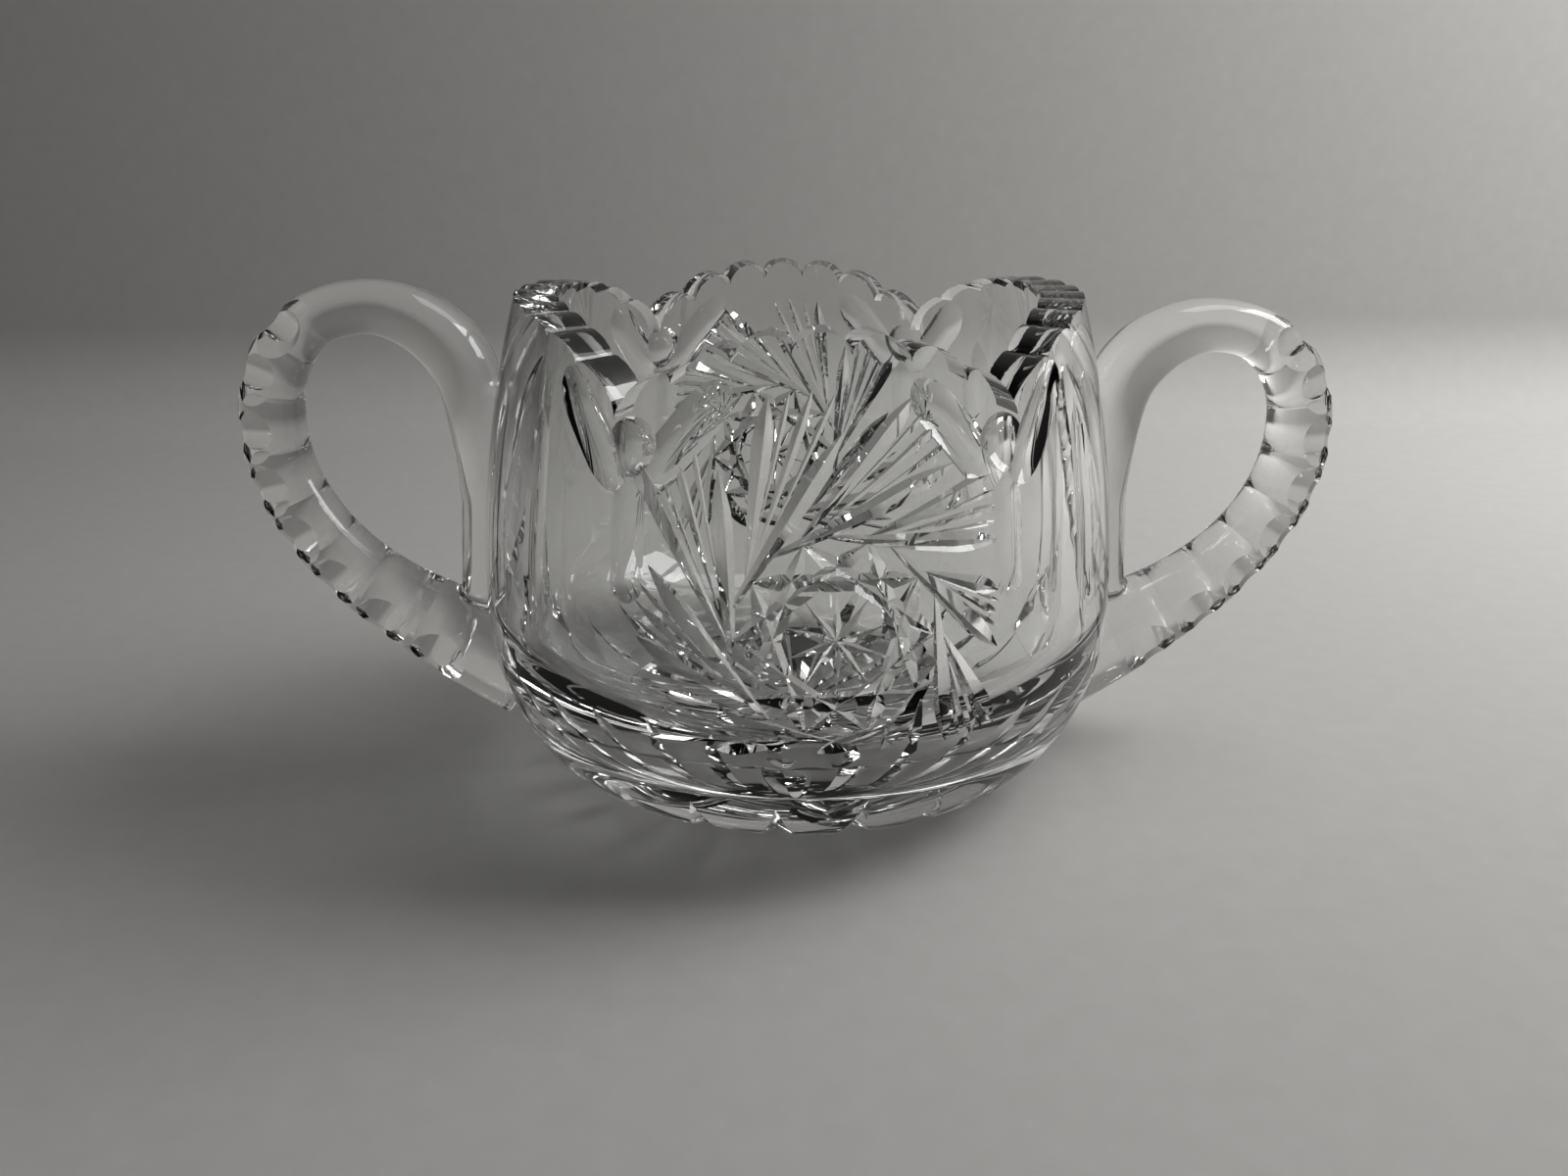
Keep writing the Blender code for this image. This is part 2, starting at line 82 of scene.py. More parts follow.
# %% Wall functions
BOWL_HEIGHT = 69.0 * MM
FOOT_RADIUS = 29.2 * MM
FOOT_HEIGHT = 1.6 * MM
HEEL_RADIUS = 33.0 * MM
HEEL_HEIGHT = 2.6 * MM
BELLY_RADIUS = 45.3 * MM
BELLY_HEIGHT = 24.0 * MM
LOWER_POWER = 1.75
RIM_RADIUS = 38.8 * MM
RIM_WALL = 5.8 * MM
BELLY_WALL = 6.4 * MM
FLOOR_THICKNESS = 9.0 * MM
FLOOR_FLAT_RADIUS = 16.0 * MM
CORNER_HEIGHT = 26.7 * MM
NORMAL_STEP = 0.05 * MM


def wall_radius(z):
    """Radius of the outer wall at a height."""
    if z < HEEL_HEIGHT:
        flare = max(0.0, (z - FOOT_HEIGHT) / (HEEL_HEIGHT - FOOT_HEIGHT))
        return FOOT_RADIUS + (HEEL_RADIUS - FOOT_RADIUS) * flare
    if z < BELLY_HEIGHT:
        fall = (BELLY_HEIGHT - z) / (BELLY_HEIGHT - HEEL_HEIGHT)
        bulge = (1.0 - fall ** LOWER_POWER) ** (1.0 / LOWER_POWER)
        return HEEL_RADIUS + (BELLY_RADIUS - HEEL_RADIUS) * bulge
    rise = (z - BELLY_HEIGHT) / (BOWL_HEIGHT - BELLY_HEIGHT)
    return BELLY_RADIUS + (RIM_RADIUS - BELLY_RADIUS) * rise * rise


def cavity_radius(z):
    """Radius of the cavity at a height."""
    belly = BELLY_RADIUS - BELLY_WALL
    if z < CORNER_HEIGHT:
        fall = max(0.0, min(1.0, 1.0 - (z - FLOOR_THICKNESS) / (CORNER_HEIGHT - FLOOR_THICKNESS)))
        return FLOOR_FLAT_RADIUS + (belly - FLOOR_FLAT_RADIUS) * math.sqrt(1.0 - fall * fall)
    rise = (z - CORNER_HEIGHT) / (BOWL_HEIGHT - CORNER_HEIGHT)
    return belly + (RIM_RADIUS - RIM_WALL - belly) * rise * rise


def turned_normal(radius_at, x, y, z):
    """Unit normal that points away from the axis, on a turned form."""
    slope = (radius_at(z + NORMAL_STEP) - radius_at(z - NORMAL_STEP)) / (2.0 * NORMAL_STEP)
    across = math.hypot(x, y)
    return Vector((x / across, y / across, -slope)).normalized()


def wall_point(x, z, facing):
    """Point and normal on the outer wall, x along it from the line that faces this angle."""
    radius = wall_radius(z)
    angle = facing + x / radius
    point = Vector((radius * math.sin(angle), -radius * math.cos(angle), z))
    return point, turned_normal(wall_radius, *point)


def wall_point_between(start, end, t, facing):
    """Point and normal on the outer wall, at part t of the way between two (along, height) points."""
    x = start[0] + (end[0] - start[0]) * t
    z = start[1] + (end[1] - start[1]) * t
    return wall_point(x, z, facing)


print("belly", round(2.0 * BELLY_RADIUS / MM, 1), "mm across, rim", round(2.0 * RIM_RADIUS / MM, 1), "mm")

# %% [markdown]
# ## Small helpers
# A cut is a Boolean difference. The manifold solver is fast and keeps the mesh closed, on one condition:
# inside one cutter no two shapes may overlap. Lines that cross therefore go into different cutters.
# Grooves, rods and strips are all rings of points joined one to the next, so one function skins them.

# %% Helpers
WELD_DISTANCE = 0.0005 * MM


def object_from(bm, name):
    """Object in the scene from a finished bmesh, with its faces turned outward."""
    bmesh.ops.recalc_face_normals(bm, faces=bm.faces)
    mesh = bpy.data.meshes.new(name)
    bm.to_mesh(mesh)
    bm.free()
    made = bpy.data.objects.new(name, mesh)
    scene.collection.objects.link(made)
    return made


def boolean(target, other, operation="DIFFERENCE"):
    """Adds a Boolean modifier, which freeze() applies later, and returns it."""
    modifier = target.modifiers.new(other.name, "BOOLEAN")
    modifier.operation = operation
    modifier.solver = "MANIFOLD"
    modifier.object = other
    return modifier


def freeze(target, *helpers):
    """Keeps the result of the modifiers as the mesh, and removes the helpers."""
    graph = bpy.context.evaluated_depsgraph_get()
    mesh = bpy.data.meshes.new_from_object(target.evaluated_get(graph))
    target.modifiers.clear()
    target.data = mesh
    for helper in helpers:
        bpy.data.objects.remove(helper, do_unlink=True)
    return target


def turned(name, profile, steps):
    """Solid of revolution from radius and height pairs that start and end on the axis."""
    bm = bmesh.new()
    verts = [bm.verts.new((radius, 0.0, height)) for radius, height in profile]
    for first, second in zip(verts, verts[1:]):
        bm.edges.new((first, second))
    bmesh.ops.spin(bm, geom=list(bm.verts) + list(bm.edges), cent=(0, 0, 0), axis=(0, 0, 1),
                   angle=2.0 * math.pi, steps=steps)
    bmesh.ops.remove_doubles(bm, verts=bm.verts, dist=WELD_DISTANCE)
    return object_from(bm, name)


def skin_rings(bm, rings):
    """Joins each ring of vertices to the next one and caps both ends."""
    count = len(rings[0])
    for here, after in zip(rings, rings[1:]):
        for k in range(count):
            bm.faces.new((here[k], here[(k + 1) % count], after[(k + 1) % count], after[k]))
    bm.faces.new(rings[0][::-1])
    bm.faces.new(rings[-1])


print("points closer than", round(WELD_DISTANCE / MM, 4), "mm are welded")

# %% [markdown]
# ## The blank
# A profile turned round the axis gives the thick bowl before any cut. A Screw modifier could do that too,
# but a spin in bmesh is welded at once, so the cutters meet a closed mesh. It is much finer than the
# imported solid, because glass shows every facet of a coarse wall as a stripe.

# %% Blank
TURN_STEPS = 240
LOWER_STEPS = 22
UPPER_STEPS = 26


def outer_profile(shrink=0.0):
    """Radius and height pairs up the outer wall and a little past the rim, drawn in by shrink."""
    points = [(FOOT_RADIUS - shrink, 0.0), (FOOT_RADIUS - shrink, FOOT_HEIGHT)]
    for i in range(LOWER_STEPS + 1):
        turn = 0.5 * math.pi * i / LOWER_STEPS
        height = HEEL_HEIGHT + (BELLY_HEIGHT - HEEL_HEIGHT) * (1.0 - math.cos(turn))
        points.append((wall_radius(height) - shrink, height))
    for i in range(1, UPPER_STEPS + 3):
        height = BELLY_HEIGHT + (BOWL_HEIGHT - BELLY_HEIGHT) * i / UPPER_STEPS
        points.append((wall_radius(height) - shrink, height))
    return points


def cavity_profile():
    """Radius and height pairs down the inside, from above the rim to the edge of the flat floor."""
    points = []
    for i in range(UPPER_STEPS + 2, 0, -1):
        height = CORNER_HEIGHT + (BOWL_HEIGHT - CORNER_HEIGHT) * i / UPPER_STEPS
        points.append((cavity_radius(height), height))
    for i in range(LOWER_STEPS, -1, -1):
        turn = 0.5 * math.pi * i / LOWER_STEPS
        radius = FLOOR_FLAT_RADIUS + (BELLY_RADIUS - BELLY_WALL - FLOOR_FLAT_RADIUS) * math.sin(turn)
        height = FLOOR_THICKNESS + (CORNER_HEIGHT - FLOOR_THICKNESS) * (1.0 - math.cos(turn))
        points.append((radius, height))
    return points


profile = [(0.0, 0.0)] + outer_profile() + cavity_profile() + [(0.0, FLOOR_THICKNESS)]
bowl = turned("cut_bowl", profile, TURN_STEPS)
print("blank:", len(bowl.data.polygons), "faces")

# %% [markdown]
# ## The rim
# The rim dips four times, and small round teeth run along it. Moving the top vertices would be quicker,
# but a wheel cuts straight through the wall, so one ring-shaped cutter carries the whole edge line. The
# lobes are power curves, and each tooth is a round arch between two sharp valleys. The side lobes rise
# steeper to a flatter top, and their teeth are shallower than those of front and back.

# %% Rim cutter
TOOTH_COUNT = 36
TOOTH_HEIGHT = 2.4 * MM
TOOTH_STEPS = 14
FRONT_LOBE_HALF_ANGLE = math.radians(35.0)
LOBE_DROP = 8.2 * MM
FRONT_LOBE_POWER = 2.4
SIDE_LOBE_POWER = 3.5
# Share of the tooth height on the side lobes, and how far past the dip it is reached.
SIDE_TOOTH_SHARE = 0.38
SIDE_TOOTH_FADE = math.radians(8.0)
# The cutter is a ring between these radii, up to well above the rim.
RIM_CUT_RADII = (15.0 * MM, 60.0 * MM)
RIM_CUT_TOP = 90.0 * MM


def from_front_or_back(angle):
    """Angle to the nearer of front and back, from 0 to a quarter turn."""
    around = abs((angle + math.pi) % (2.0 * math.pi) - math.pi)
    return min(around, math.pi - around)


def lobe_height(angle):
    """Height of the tooth tips."""
    beside = from_front_or_back(angle)
    if beside < FRONT_LOBE_HALF_ANGLE:
        return BOWL_HEIGHT - LOBE_DROP * (beside / FRONT_LOBE_HALF_ANGLE) ** FRONT_LOBE_POWER
    part = (0.5 * math.pi - beside) / (0.5 * math.pi - FRONT_LOBE_HALF_ANGLE)
    return BOWL_HEIGHT - LOBE_DROP * part ** SIDE_LOBE_POWER


def rim_height(angle):
    """Height of the edge line with its teeth."""
    across = (angle * TOOTH_COUNT / (2.0 * math.pi) + 0.5) % 1.0
    arch = math.sqrt(max(0.0, 1.0 - (2.0 * across - 1.0) ** 2))
    past_dip = (from_front_or_back(angle) - FRONT_LOBE_HALF_ANGLE) / SIDE_TOOTH_FADE
    share = 1.0 - (1.0 - SIDE_TOOTH_SHARE) * max(0.0, min(1.0, past_dip))
    return lobe_height(angle) - TOOTH_HEIGHT * share * (1.0 - arch)


def rim_cutter():
    """Everything above the edge line, as one closed ring."""
    bm = bmesh.new()
    inner, outer = RIM_CUT_RADII
    rings = []
    for i in range(TOOTH_COUNT):
        for k in range(TOOTH_STEPS):
            # Stations crowd towards the valleys, where the arch is steep.
            across = 0.5 - 0.5 * math.cos(math.pi * k / TOOTH_STEPS)
            angle = 2.0 * math.pi * (i + across - 0.5) / TOOTH_COUNT
            low = rim_height(angle)
            out = Vector((math.sin(angle), -math.cos(angle), 0.0))
            corners = ((inner, low), (outer, low), (outer, RIM_CUT_TOP), (inner, RIM_CUT_TOP))
            rings.append([bm.verts.new(out * r + Vector((0.0, 0.0, z))) for r, z in corners])
    for i, here in enumerate(rings):
        after = rings[(i + 1) % len(rings)]
        for k in range(4):
            bm.faces.new((here[k], here[(k + 1) % 4], after[(k + 1) % 4], after[k]))
    return object_from(bm, "rim_cutter")


cutters = [rim_cutter()]
print("rim from", round(min(rim_height(math.radians(a)) for a in range(360)) / MM, 1), "to",
      round(BOWL_HEIGHT / MM, 1), "mm")

# %% [markdown]
# ## Mitre cuts
# A mitre wheel has a V-shaped edge, so its cut is a V groove: fine where the wheel touches and wider
# where it was pressed deeper. Each groove here is a V-shaped prism that follows the wall, with a depth
# for every station. The flanks keep one angle, as the wheel does, so depth alone sets the width.

# %% Mitre prism
MITRE_LIFT = 0.4 * MM
MITRE_FLANK = 1.1
MITRE_STEPS = 12
# Shares of the full depth, and parts of the length, that give the cuts their shapes.
FINE_DEPTH = 0.10
SPEAR_FULL = 0.72
SPEAR_SWELL = 0.8
SPEAR_POINT = 0.06
RUN_OUT_RATE = 6.0


def add_prism(bm, stations, lift=MITRE_LIFT, flank=MITRE_FLANK):
    """Closed V through (point, normal, depth) stations; flank is half width over depth."""
    rings = []
    for i, (point, normal, depth) in enumerate(stations):
        before = stations[max(0, i - 1)][0]
        after = stations[min(len(stations) - 1, i + 1)][0]
        side = (after - before).normalized().cross(normal).normalized()
        flare = flank * (depth + lift)
        corners = (point - normal * depth, point + normal * lift + side * flare,
                   point + normal * lift - side * flare)
        rings.append([bm.verts.new(corner) for corner in corners])
    skin_rings(bm, rings)


def spear(t):
    """Depth along a vane: fine at the whirl, full at about three quarters, pointed at the end."""
    if t < SPEAR_FULL:
        return FINE_DEPTH + (1.0 - FINE_DEPTH) * (t / SPEAR_FULL) ** SPEAR_SWELL
    return max(SPEAR_POINT, 1.0 - ((t - SPEAR_FULL) / (1.0 - SPEAR_FULL)) ** 2)


def even(t):
    """Depth along a chord: even, with short run-outs."""
    return min(1.0, FINE_DEPTH + RUN_OUT_RATE * t, FINE_DEPTH + RUN_OUT_RATE * (1.0 - t))


def peaked(t):
    """Depth along a ray of the button: deepest at the middle."""
    return max(FINE_DEPTH, 1.0 - abs(2.0 * t - 1.0))


def add_mitre(bm, start, end, depth, facing, shape):
    """Straight mitre between two pattern points, (along, height)."""
    stations = []
    for i in range(MITRE_STEPS + 1):
        t = i / MITRE_STEPS
        point, normal = wall_point_between(start, end, t, facing)
        stations.append((point, normal, depth * shape(t)))
    add_prism(bm, stations)


print("a mitre 1 mm deep is", 2.0 * MITRE_FLANK, "mm wide")

# %% [markdown]
# ## The pinwheel
# Ten vanes whirl clockwise round the hobstar, on the front and on the back. Each vane leaves a point of
# the star's circle with one mitre along the tangent, one that fans outward, and finer ones between them.
# They stop at the edges of their panel: the plain pillars at its sides, the rim above and the heel below.

# %% Pinwheel cutters
FACINGS = (math.radians(2.0), math.pi + math.radians(2.0))
PINWHEEL_HEIGHT = 34.2 * MM
PINWHEEL_RADIUS = 12.4 * MM
VANE_COUNT = 10
VANE_START = math.radians(221.0)
# Turn from the tangent towards the outside in degrees, start along the line, and depth.
VANE_LINES = ((-2.0, -4.2 * MM, 1.20 * MM), (23.0, 1.2 * MM, 1.15 * MM), (11.0, 5.0 * MM, 0.60 * MM),
              (5.0, 8.0 * MM, 0.35 * MM), (17.0, 8.0 * MM, 0.35 * MM))
# The cutter worked by eye, so some vanes on the right lean outward a little more, in degrees.
VANE_LEANS = (0.0, 0.0, 0.0, 3.0, 9.0, 7.0, 3.0, 0.0, 0.0, 0.0)
VANE_LENGTH = 25.0 * MM
VANE_STEP = 0.25 * MM
VANE_LEAST = 4.0 * MM
# A line that the panel cuts short is shallower: this share of the depth, and more with its length.
SHORT_VANE_SHARE = 0.45
PANEL_SIDES = (-24.5 * MM, 21.0 * MM)
PANEL_BOTTOM = 20.0 * MM
RIM_MARGIN = 3.6 * MM


def vane_end(start, turn):
    """Where a vane line runs out: its own length, or the edge of the panel."""
    ahead = (math.cos(turn), math.sin(turn))
    length = 0.0
    while length < VANE_LENGTH:
        x = start[0] + ahead[0] * (length + VANE_STEP)
        z = start[1] + ahead[1] * (length + VANE_STEP)
        top = lobe_height(x / wall_radius(z)) - TOOTH_HEIGHT - RIM_MARGIN
        if not PANEL_SIDES[0] < x < PANEL_SIDES[1] or z < PANEL_BOTTOM or z > top:
            break
        length += VANE_STEP
    return (start[0] + ahead[0] * length, start[1] + ahead[1] * length), length


def vane_cutter(first, turn_out, inset, depth, name):
    """One line of every other vane, front and back: neighbours would overlap in one cutter."""
    bm = bmesh.new()
    for facing in FACINGS:
        for i in range(first, VANE_COUNT, 2):
            angle = VANE_START - 2.0 * math.pi * i / VANE_COUNT
            turn = angle - 0.5 * math.pi + math.radians(turn_out + VANE_LEANS[i])
            start = (PINWHEEL_RADIUS * math.cos(angle) + inset * math.cos(turn),
                     PINWHEEL_HEIGHT + PINWHEEL_RADIUS * math.sin(angle) + inset * math.sin(turn))
            end, length = vane_end(start, turn)
            if length > VANE_LEAST:
                share = min(1.0, SHORT_VANE_SHARE + length / VANE_LENGTH)
                add_mitre(bm, start, end, depth * share, facing, spear)
    return object_from(bm, name)


for number, line in enumerate(VANE_LINES):
    for first in (0, 1):
        cutters.append(vane_cutter(first, *line, f"vane_cutter_{number}_{first}"))
print("vanes:", VANE_COUNT, "on each side,", len(VANE_LINES), "mitres in each")

# %% [markdown]
# ## The hobstar
# In the middle of the whirl is a ten-pointed star: chords that join every third point of a circle leave
# a small ten-sided button, and the button is crossed by rays of its own. A picture of a star would stay
# flat, while cut lines bend the light, so each is a mitre. Only parallel chords share a cutter.

# %% Hobstar cutters
HOBSTAR_POINTS = 10
HOBSTAR_SKIP = 3
HOBSTAR_RADIUS = 12.2 * MM
HOBSTAR_DEPTH = 0.95 * MM
BUTTON_RADIUS = 6.1 * MM
BUTTON_DEPTH = 0.75 * MM


def star_corner(k, radius):
    """Pattern point of a corner of the star, or between two corners where k is a half."""
    angle = 2.0 * math.pi * (k + 1) / HOBSTAR_POINTS
    return radius * math.cos(angle), PINWHEEL_HEIGHT + radius * math.sin(angle)


def chord_cutter(k):
    """Two parallel chords of the star, front and back."""
    bm = bmesh.new()
    for facing in FACINGS:
        for first in (k, k + HOBSTAR_POINTS // 2):
            start = star_corner(first, HOBSTAR_RADIUS)
            end = star_corner(first + HOBSTAR_SKIP, HOBSTAR_RADIUS)
            add_mitre(bm, start, end, HOBSTAR_DEPTH, facing, even)
    return object_from(bm, f"chord_cutter_{k}")


def ray_cutter(k):
    """One line across the button, deepest at the middle, front and back."""
    bm = bmesh.new()
    for facing in FACINGS:
        start = star_corner(k + 0.5, BUTTON_RADIUS)
        end = star_corner(k + 0.5 + HOBSTAR_POINTS // 2, BUTTON_RADIUS)
        add_mitre(bm, start, end, BUTTON_DEPTH, facing, peaked)
    return object_from(bm, f"ray_cutter_{k}")


for k in range(HOBSTAR_POINTS // 2):
    cutters.append(chord_cutter(k))
    cutters.append(ray_cutter(k))
print("hobstar:", HOBSTAR_POINTS, "points")

# %% [markdown]
# ## Petals and flutes
# A wheel with a round edge leaves a soft groove instead of a V. Under each dip of the rim two such petals
# open like a Y, a round thumbprint sits in their crotch, and an upright flute forms a plain pillar below.
# More upright flutes stand at both sides of each handle. A groove widens with its depth, so a depth that
# fades like a parabola gives it a round end.

# %% Round-wheel cutters
PETAL_RADIUS = 4.6 * MM
PETAL_DEPTH = 0.95 * MM
PILLAR_ANGLE = math.radians(31.0)
PETAL_FOOT = (1.2 * MM, 50.6 * MM)
PETAL_TIP = (11.2 * MM, 63.4 * MM)
PETAL_FADE = 0.3
THUMB_RADIUS = 5.0 * MM
THUMB_DEPTH = 1.5 * MM
THUMB_HEIGHT = 55.6 * MM
THUMB_SUBDIVISIONS = 5
FLUTE_RADIUS = 9.0 * MM
PILLAR_SPAN = (37.0 * MM, 52.0 * MM)
PILLAR_DEPTH = 0.4 * MM
PILLAR_FADE = 0.2
# Angle from front or back in degrees, and depth.
SIDE_FLUTES = ((52.0, 0.4 * MM), (66.0, 0.15 * MM))
SIDE_SPAN = (30.0 * MM, 58.0 * MM)
SIDE_FADE = 0.3
GROOVE_STEPS = 28
GROOVE_SEGMENTS = 32
GROOVE_LEAST = 0.02


def four_facings(angle):
    """This angle to the left and right of the front and of the back."""
    return [centre + side * angle for centre in (0.0, math.pi) for side in (-1.0, 1.0)]


def add_groove(bm, start, end, facing, radius, depth, fade):
    """Round tube sunk into the wall between two pattern points, fading over this part of each end."""
    turns = [2.0 * math.pi * k / GROOVE_SEGMENTS for k in range(GROOVE_SEGMENTS)]
    stations = []
    for i in range(GROOVE_STEPS + 1):
        t = i / GROOVE_STEPS
        point, normal = wall_point_between(start, end, t, facing)
        near_end = min(1.0, t / fade, (1.0 - t) / fade)
        sunk = depth * max(GROOVE_LEAST, 1.0 - (1.0 - near_end) ** 2)
        stations.append((point + normal * (radius - sunk), normal))
    rings = []
    for i, (centre, normal) in enumerate(stations):
        ahead = stations[min(i + 1, GROOVE_STEPS)][0] - stations[max(i - 1, 0)][0]
        side = ahead.normalized().cross(normal).normalized()
        rings.append([bm.verts.new(centre + (side * math.cos(turn) + normal * math.sin(turn)) * radius)
                      for turn in turns])
    skin_rings(bm, rings)


def petal_cutter(side):
    """The petals on one side of the four Y-shaped cuts."""
    bm = bmesh.new()
    for facing in four_facings(PILLAR_ANGLE):
        foot = (side * PETAL_FOOT[0], PETAL_FOOT[1])
        tip = (side * PETAL_TIP[0], PETAL_TIP[1])
        add_groove(bm, foot, tip, facing, PETAL_RADIUS, PETAL_DEPTH, PETAL_FADE)
    return object_from(bm, f"petal_cutter_{side:+.0f}")


def thumb_cutter():
    """The round thumbprints in the crotches of the four Y-shaped cuts."""
    bm = bmesh.new()
    for facing in four_facings(PILLAR_ANGLE):
        point, normal = wall_point(0.0, THUMB_HEIGHT, facing)
        place = Matrix.Translation(point + normal * (THUMB_RADIUS - THUMB_DEPTH))
        bmesh.ops.create_icosphere(bm, subdivisions=THUMB_SUBDIVISIONS, radius=THUMB_RADIUS, matrix=place)
    return object_from(bm, "thumb_cutter")


def flute_cutter(angle, span, depth, fade):
    """Four upright flutes at the same angle beside front and back."""
    bm = bmesh.new()
    for facing in four_facings(angle):
        add_groove(bm, (0.0, span[0]), (0.0, span[1]), facing, FLUTE_RADIUS, depth, fade)
    return object_from(bm, f"flute_cutter_{math.degrees(angle):.0f}")


cutters += [petal_cutter(-1.0), petal_cutter(1.0), thumb_cutter()]
cutters.append(flute_cutter(PILLAR_ANGLE, PILLAR_SPAN, PILLAR_DEPTH, PILLAR_FADE))
for degrees, depth in SIDE_FLUTES:
    cutters.append(flute_cutter(math.radians(degrees), SIDE_SPAN, depth, SIDE_FADE))
print("pillars: 4, side flutes:", 4 * len(SIDE_FLUTES))

# %% [markdown]
# ## The base star
# The underside is ground flat and carries a star of rays, which the thick floor magnifies when one looks
# in from above. The rays run out over the edge of the foot, so its outline is faintly scalloped, and on
# up over the heel, where each ends in a point. The prism of the mitres makes both, with a wider V.

# %% Base star
STAR_RAYS = 24
STAR_DEPTH = 1.9 * MM
STAR_FLANK = 1.75
STAR_OVERRUN = 3.0 * MM
STAR_LIFT = 0.05 * MM
HEEL_SPAN = (2.8 * MM, 10.5 * MM)
HEEL_DEPTH = 1.3 * MM
HEEL_FLANK = 2.0
HEEL_LIFT = 0.2 * MM
HEEL_STEPS = 8
HEEL_POINT = 0.04
HEEL_LEAD_IN = 4.0 * MM
# Part of the ray's reach, and share of its depth there.
STAR_SHAPE = ((0.10, 0.08), (0.30, 0.34), (0.55, 0.62), (0.80, 0.90), (0.92, 1.0), (1.0, 0.80))


def star_cutter():
    """The rays in the underside, from near the middle to past the edge of the foot."""
    bm = bmesh.new()
    reach = FOOT_RADIUS + STAR_OVERRUN
    down = Vector((0.0, 0.0, -1.0))
    for i in range(STAR_RAYS):
        angle = 2.0 * math.pi * (i + 0.5) / STAR_RAYS
        ray = Vector((math.cos(angle), math.sin(angle), 0.0))
        stations = [(ray * reach * part, down, STAR_DEPTH * share) for part, share in STAR_SHAPE]
        add_prism(bm, stations, lift=STAR_LIFT, flank=STAR_FLANK)
    return object_from(bm, "star_cutter")


def heel_cutter():
    """The rays again where they run up over the heel, each ending in a point on the lower wall."""
    bm = bmesh.new()
    low, high = HEEL_SPAN
    for i in range(STAR_RAYS):
        angle = 2.0 * math.pi * (i + 0.5) / STAR_RAYS
        stations = []
        for k in range(HEEL_STEPS + 1):
            point, normal = wall_point(0.0, low + (high - low) * k / HEEL_STEPS, angle)
            stations.append((point, normal, HEEL_DEPTH * max(HEEL_POINT, 1.0 - k / HEEL_STEPS)))
        first, first_normal, _ = stations[0]
        below = first + (first - stations[1][0]).normalized() * HEEL_LEAD_IN
        stations.insert(0, (below, first_normal, HEEL_DEPTH))
        add_prism(bm, stations, lift=HEEL_LIFT, flank=HEEL_FLANK)
    return object_from(bm, "heel_cutter")


cutters += [star_cutter(), heel_cutter()]
for cutter in cutters:
    boolean(bowl, cutter)
freeze(bowl, *cutters)
print("cut bowl:", len(bowl.data.polygons), "faces")

# %% [markdown]
# ## The handles
# Each handle was a gathered rod of hot glass, set on at the shoulder, looped out and down and pressed on
# again near the foot, where it spreads. A curve with a bevel keeps one shape of section, so here a path
# of control points carries a rounded section with its own thickness and width at each point. A strip
# along the wall joins the two ends. Both were set by hand, so the left loop stands a little higher.

# %% Handle loft
HANDLE_REACH = 28.4 * MM
HANDLE_TOPS = {"left": 67.0 * MM, "right": 63.4 * MM}
HANDLE_THICKNESS = 8.7 * MM
HANDLE_WIDTH = 9.6 * MM
HANDLE_SEGMENTS = 40
HANDLE_RINGS = 150
SECTION_POWER = 2.5
STRIP_PROUD = 3.8 * MM
STRIP_FLARE = 0.8 * MM
STRIP_HALF_WIDTH = 4.8 * MM
# Ends of the strip as parts of the handle's top.
STRIP_TOP = 0.84
STRIP_BOTTOM = 0.34
STRIP_STEPS = 24
STRIP_FLARE_POWER = 4
PATH_STEP = 0.004
# Reach past the belly, height, half thickness and half width, as parts of the four sizes.
HANDLE_PATH = (
    (-0.040, 0.560, 0.46, 0.48), (-0.015, 0.740, 0.49, 0.51), (0.035, 0.864, 0.51, 0.54),
    (0.137, 0.934, 0.51, 0.53), (0.290, 0.980, 0.47, 0.50), (0.482, 1.000, 0.43, 0.47),
    (0.711, 0.980, 0.43, 0.47), (0.877, 0.923, 0.46, 0.49), (0.975, 0.840, 0.48, 0.50),
    (1.000, 0.736, 0.50, 0.50), (0.961, 0.638, 0.51, 0.50), (0.870, 0.549, 0.52, 0.50),
    (0.739, 0.469, 0.54, 0.52), (0.560, 0.393, 0.59, 0.55), (0.342, 0.325, 0.67, 0.60),
    (0.095, 0.264, 0.80, 0.70), (-0.187, 0.207, 0.94, 0.80),
)


def path_at(part, top):
    """Reach from the axis, height, half thickness and half width, on a smooth curve through the path."""
    place = part * (len(HANDLE_PATH) - 1)
    index = min(int(place), len(HANDLE_PATH) - 2)
    t = place - index
    rows = [HANDLE_PATH[max(0, min(len(HANDLE_PATH) - 1, index + k))] for k in (-1, 0, 1, 2)]
    reach, height, thick, wide = [
        b + 0.5 * t * (c - a + t * (2 * a - 5 * b + 4 * c - d + t * (3 * (b - c) + d - a)))
        for a, b, c, d in zip(*rows)]
    return BELLY_RADIUS + reach * HANDLE_REACH, height * top, thick * HANDLE_THICKNESS, wide * HANDLE_WIDTH


def path_frame(part, top):
    """Centre of the section, the direction that faces out of the loop, and the two half sizes."""
    before = path_at(max(0.0, part - PATH_STEP), top)
    after = path_at(min(1.0, part + PATH_STEP), top)
    along = Vector((after[0] - before[0], 0.0, after[1] - before[1])).normalized()
    reach, height, thick, wide = path_at(part, top)
    return Vector((reach, 0.0, height)), Vector((-along.z, 0.0, along.x)), thick, wide


def section(centre, out, thick, wide):
    """Ring of points on a rounded rectangle."""
    points = []
    for k in range(HANDLE_SEGMENTS):
        angle = 2.0 * math.pi * k / HANDLE_SEGMENTS
        c, s = math.cos(angle), math.sin(angle)
        x = math.copysign(abs(c) ** (2.0 / SECTION_POWER), c) * thick
        y = math.copysign(abs(s) ** (2.0 / SECTION_POWER), s) * wide
        points.append(centre + out * x + Vector((0.0, y, 0.0)))
    return points


